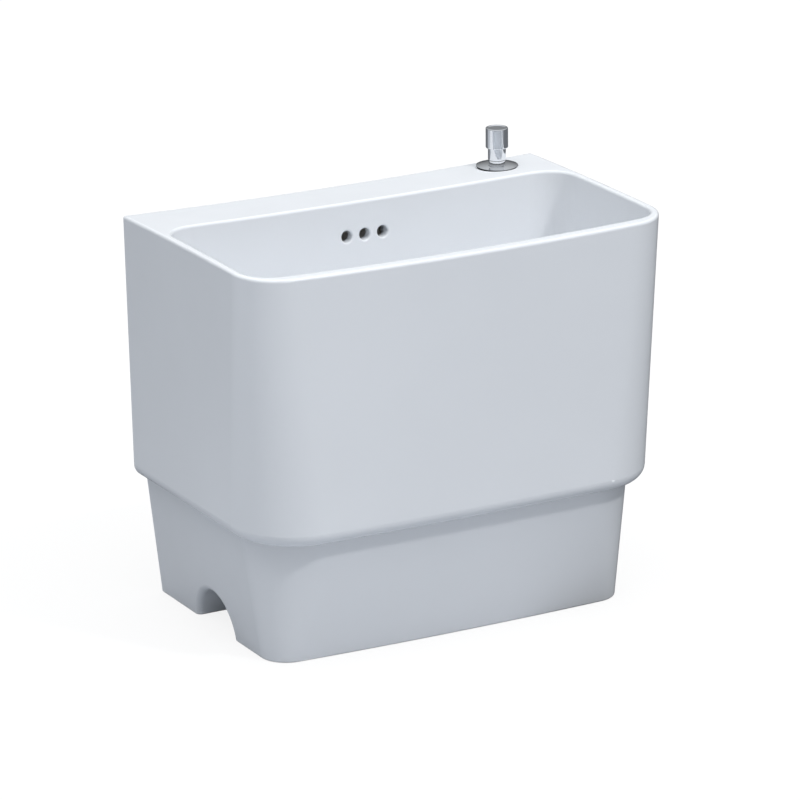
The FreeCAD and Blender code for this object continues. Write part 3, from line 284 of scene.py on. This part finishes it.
def metal(name, colour, roughness, marks_scale, stretch, depth):
    """A metal whose roughness and fine marks run along one direction."""
    material, tree, shader = new_material(name)
    where = coordinates(tree)
    shader.inputs["Metallic"].default_value = 1.0
    along = node(tree, "ShaderNodeMapping", {"Vector": where, "Scale": stretch}).outputs[0]
    marks = noise(tree, along, marks_scale, detail=5.0, roughness=0.6)
    cloud = noise(tree, where, scale=35.0)
    tree.links.new(mottled(tree, cloud, colour, dark=0.9, light=1.05), shader.inputs["Base Color"])
    worn = maths(tree, "ADD", marks, maths(tree, "MULTIPLY", cloud, METAL_CLOUD_SHARE))
    tree.links.new(ramp(tree, worn, *METAL_RANGE, *roughness), shader.inputs["Roughness"])
    tree.links.new(bump(tree, marks, strength=0.1, distance=depth), shader.inputs["Normal"])
    return material


def soft(name, colour, roughness, grain_scale, grain_depth, spread=0.0):
    """Rubber, plastic or sealant: a moulded skin with a fine grain, which light enters as far
    as spread in metres."""
    material, tree, shader = new_material(name)
    where = coordinates(tree)
    grain = noise(tree, where, grain_scale)
    cloud = noise(tree, where, scale=40.0, detail=2.0)
    tree.links.new(mottled(tree, cloud, colour, dark=0.9, light=1.08), shader.inputs["Base Color"])
    tree.links.new(ramp(tree, grain, *NOISE_RANGE, *roughness), shader.inputs["Roughness"])
    tree.links.new(bump(tree, grain, strength=0.25, distance=grain_depth), shader.inputs["Normal"])
    if spread:
        shader.inputs["Subsurface Weight"].default_value = SPREAD_WEIGHT
        shader.inputs["Subsurface Scale"].default_value = spread
        shader.inputs["Subsurface Radius"].default_value = SPREAD_COLOUR
    return material


MATERIALS = {
    "polished_chrome": metal("polished_chrome", CHROME, roughness=(0.03, 0.09), marks_scale=300.0,
                             stretch=(1.0, 1.0, 0.15), depth=0.00002),
    "machined_brass": metal("machined_brass", BRASS, roughness=(0.22, 0.42), marks_scale=160.0,
                            stretch=(0.2, 0.2, 14.0), depth=0.00012),
    "bright_steel": metal("bright_steel", STEEL, roughness=(0.24, 0.44), marks_scale=220.0,
                          stretch=(1.0, 1.0, 0.1), depth=0.0001),
    "black_rubber": soft("black_rubber", RUBBER, roughness=(0.5, 0.75), grain_scale=700.0,
                         grain_depth=0.0002),
    "white_plastic": soft("white_plastic", PLASTIC, roughness=(0.3, 0.45), grain_scale=500.0,
                          grain_depth=0.0001, spread=0.002),
    "white_sealant": soft("white_sealant", SEALANT, roughness=(0.35, 0.55), grain_scale=300.0,
                          grain_depth=0.0003, spread=0.001),
}
NODE_MATERIALS = {
    "tub": ceramic("tub_ceramic", tub_bare),
    "pedestal": ceramic("pedestal_ceramic", pedestal_bare),
}

for part in frame["record"]["subparts"]:
    obj = frame["nodes"][part["node"]]
    obj.data.materials.clear()
    obj.data.materials.append(NODE_MATERIALS.get(part["node"]) or MATERIALS[part["material_slot"]])


# Backdrop, light and camera

def camera_ray(tree):
    """One for the rays that come straight from the camera."""
    return node(tree, "ShaderNodeLightPath").outputs["Is Camera Ray"]


def blend_shader(tree, share, first, second):
    """The first shader where share is none, and the second where it is one."""
    values = {0: share, 1: first.outputs[0], 2: second.outputs[0]}
    return node(tree, "ShaderNodeMixShader", values)


def make_world(horizon, zenith):
    """A sky that brightens towards the top, behind a backdrop that the camera sees as white."""
    world = bpy.data.worlds.new("studio")
    world.use_nodes = True
    tree = world.node_tree
    tree.nodes.clear()
    height = node(tree, "ShaderNodeSeparateXYZ", {"Vector": coordinates(tree, "Generated")}).outputs["Z"]
    level = node(tree, "ShaderNodeMapRange", {"Value": height, "To Min": horizon, "To Max": zenith})
    sky = node(tree, "ShaderNodeBackground", {"Color": opaque(SKY), "Strength": level.outputs[0]})
    white = node(tree, "ShaderNodeBackground", {"Color": opaque(WHITE), "Strength": 1.0})
    mix = blend_shader(tree, camera_ray(tree), sky, white)
    out = node(tree, "ShaderNodeOutputWorld")
    tree.links.new(mix.outputs[0], out.inputs["Surface"])
    bpy.context.scene.world = world


def make_floor(size, lit_share, dark, bright):
    """A pale floor that looks white, keeps a soft shadow and throws back a share of its light:
    much in front and on the left, little on the right and behind."""
    bpy.ops.mesh.primitive_plane_add(size=size, location=(0, 0, cad_box[0].z - FLOOR_GAP))
    floor = bpy.context.object
    floor.name = "floor"
    material = bpy.data.materials.new("floor")
    material.use_nodes = True
    tree = material.node_tree
    tree.nodes.clear()
    heading = node(tree, "ShaderNodeVectorMath", {0: coordinates(tree)}, operation="NORMALIZE").outputs[0]
    side = node(tree, "ShaderNodeVectorMath", {0: heading, 1: FLOOR_BRIGHT_SIDE}, operation="DOT_PRODUCT")
    share = ramp(tree, side.outputs["Value"], *FLOOR_TURN)
    thrown = mottled(tree, share, FLOOR_TINT, dark, bright)
    dull = node(tree, "ShaderNodeBsdfDiffuse", {"Color": thrown})
    pale = node(tree, "ShaderNodeBsdfDiffuse", {"Color": opaque(WHITE)})
    glow = node(tree, "ShaderNodeEmission", {"Color": opaque(WHITE), "Strength": 1.0})
    seen = blend_shader(tree, lit_share, glow, pale)
    mix = blend_shader(tree, camera_ray(tree), dull, seen)
    out = node(tree, "ShaderNodeOutputMaterial")
    tree.links.new(mix.outputs[0], out.inputs["Surface"])
    floor.data.materials.append(material)


def sun(name, azimuth, elevation, spread, strength, mirrored=True):
    """Even light from one direction: azimuth 0 is in front of the object, 90 to its right.
    A strength of 1 lights a white surface that faces it to white."""
    lamp = bpy.data.lights.new(name, "SUN")
    lamp.angle = math.radians(spread)
    lamp.energy = strength * math.pi
    obj = bpy.data.objects.new(name, lamp)
    across, up = math.radians(azimuth), math.radians(elevation)
    towards = Vector((math.sin(across) * math.cos(up), -math.cos(across) * math.cos(up), math.sin(up)))
    obj.rotation_euler = towards.to_track_quat("Z", "Y").to_euler()
    obj.visible_glossy = mirrored
    bpy.context.scene.collection.objects.link(obj)


# The photograph's viewpoint, fitted to the corners of the sink: its turn, tilt and roll in
# degrees, its distance in metres and its focal length in pixels, then a point in metres and the
# pixel where that point falls in the picture of 800 by 800 pixels. The nearest and farthest
# that the camera sees are in metres, and its sensor is in millimetres.
VIEW_TURN = 28.39
VIEW_TILT = 17.94
VIEW_ROLL = -0.57
VIEW_DISTANCE = 6.4
VIEW_FOCUS = 5273.4
VIEW_POINT = Vector((0.0, 0.029, 0.220))
VIEW_PIXEL = (391.4, 424.0)
VIEW_NEAREST = 0.1
VIEW_FARTHEST = 100.0
PICTURE = 800.0
SENSOR = 36.0


def make_camera():
    """The camera at the photograph's viewpoint, with the sink at the same place in the picture."""
    camera = bpy.data.objects.new("camera", bpy.data.cameras.new("camera"))
    bpy.context.scene.collection.objects.link(camera)
    turn, tilt, roll = (math.radians(angle) for angle in (VIEW_TURN, VIEW_TILT, VIEW_ROLL))
    back = Vector((-math.sin(turn) * math.cos(tilt), -math.cos(turn) * math.cos(tilt), math.sin(tilt)))
    level = (-back).cross(Vector((0, 0, 1))).normalized()
    upright = level.cross(-back)
    right = level * math.cos(roll) + upright * math.sin(roll)
    up = upright * math.cos(roll) - level * math.sin(roll)
    metres_per_pixel = VIEW_DISTANCE / VIEW_FOCUS
    shift_right = (VIEW_PIXEL[0] - PICTURE / 2) * metres_per_pixel
    shift_down = (VIEW_PIXEL[1] - PICTURE / 2) * metres_per_pixel
    spot = VIEW_POINT + back * VIEW_DISTANCE - right * shift_right + up * shift_down
    camera.matrix_world = Matrix((
        (right.x, up.x, back.x, spot.x),
        (right.y, up.y, back.y, spot.y),
        (right.z, up.z, back.z, spot.z),
        (0, 0, 0, 1),
    ))
    camera.data.sensor_width = SENSOR
    camera.data.lens = VIEW_FOCUS / PICTURE * SENSOR
    camera.data.clip_start = VIEW_NEAREST
    camera.data.clip_end = VIEW_FARTHEST
    bpy.context.scene.camera = camera


make_world(horizon=0.05, zenith=0.94)
make_floor(size=60.0, lit_share=0.15, dark=0.14, bright=0.47)
sun("key", azimuth=28.0, elevation=52.0, spread=4.0, strength=0.26)
sun("top", azimuth=-30.0, elevation=80.0, spread=60.0, strength=0.44, mirrored=False)
make_camera()
bpy.context.scene.view_settings.view_transform = "Standard"
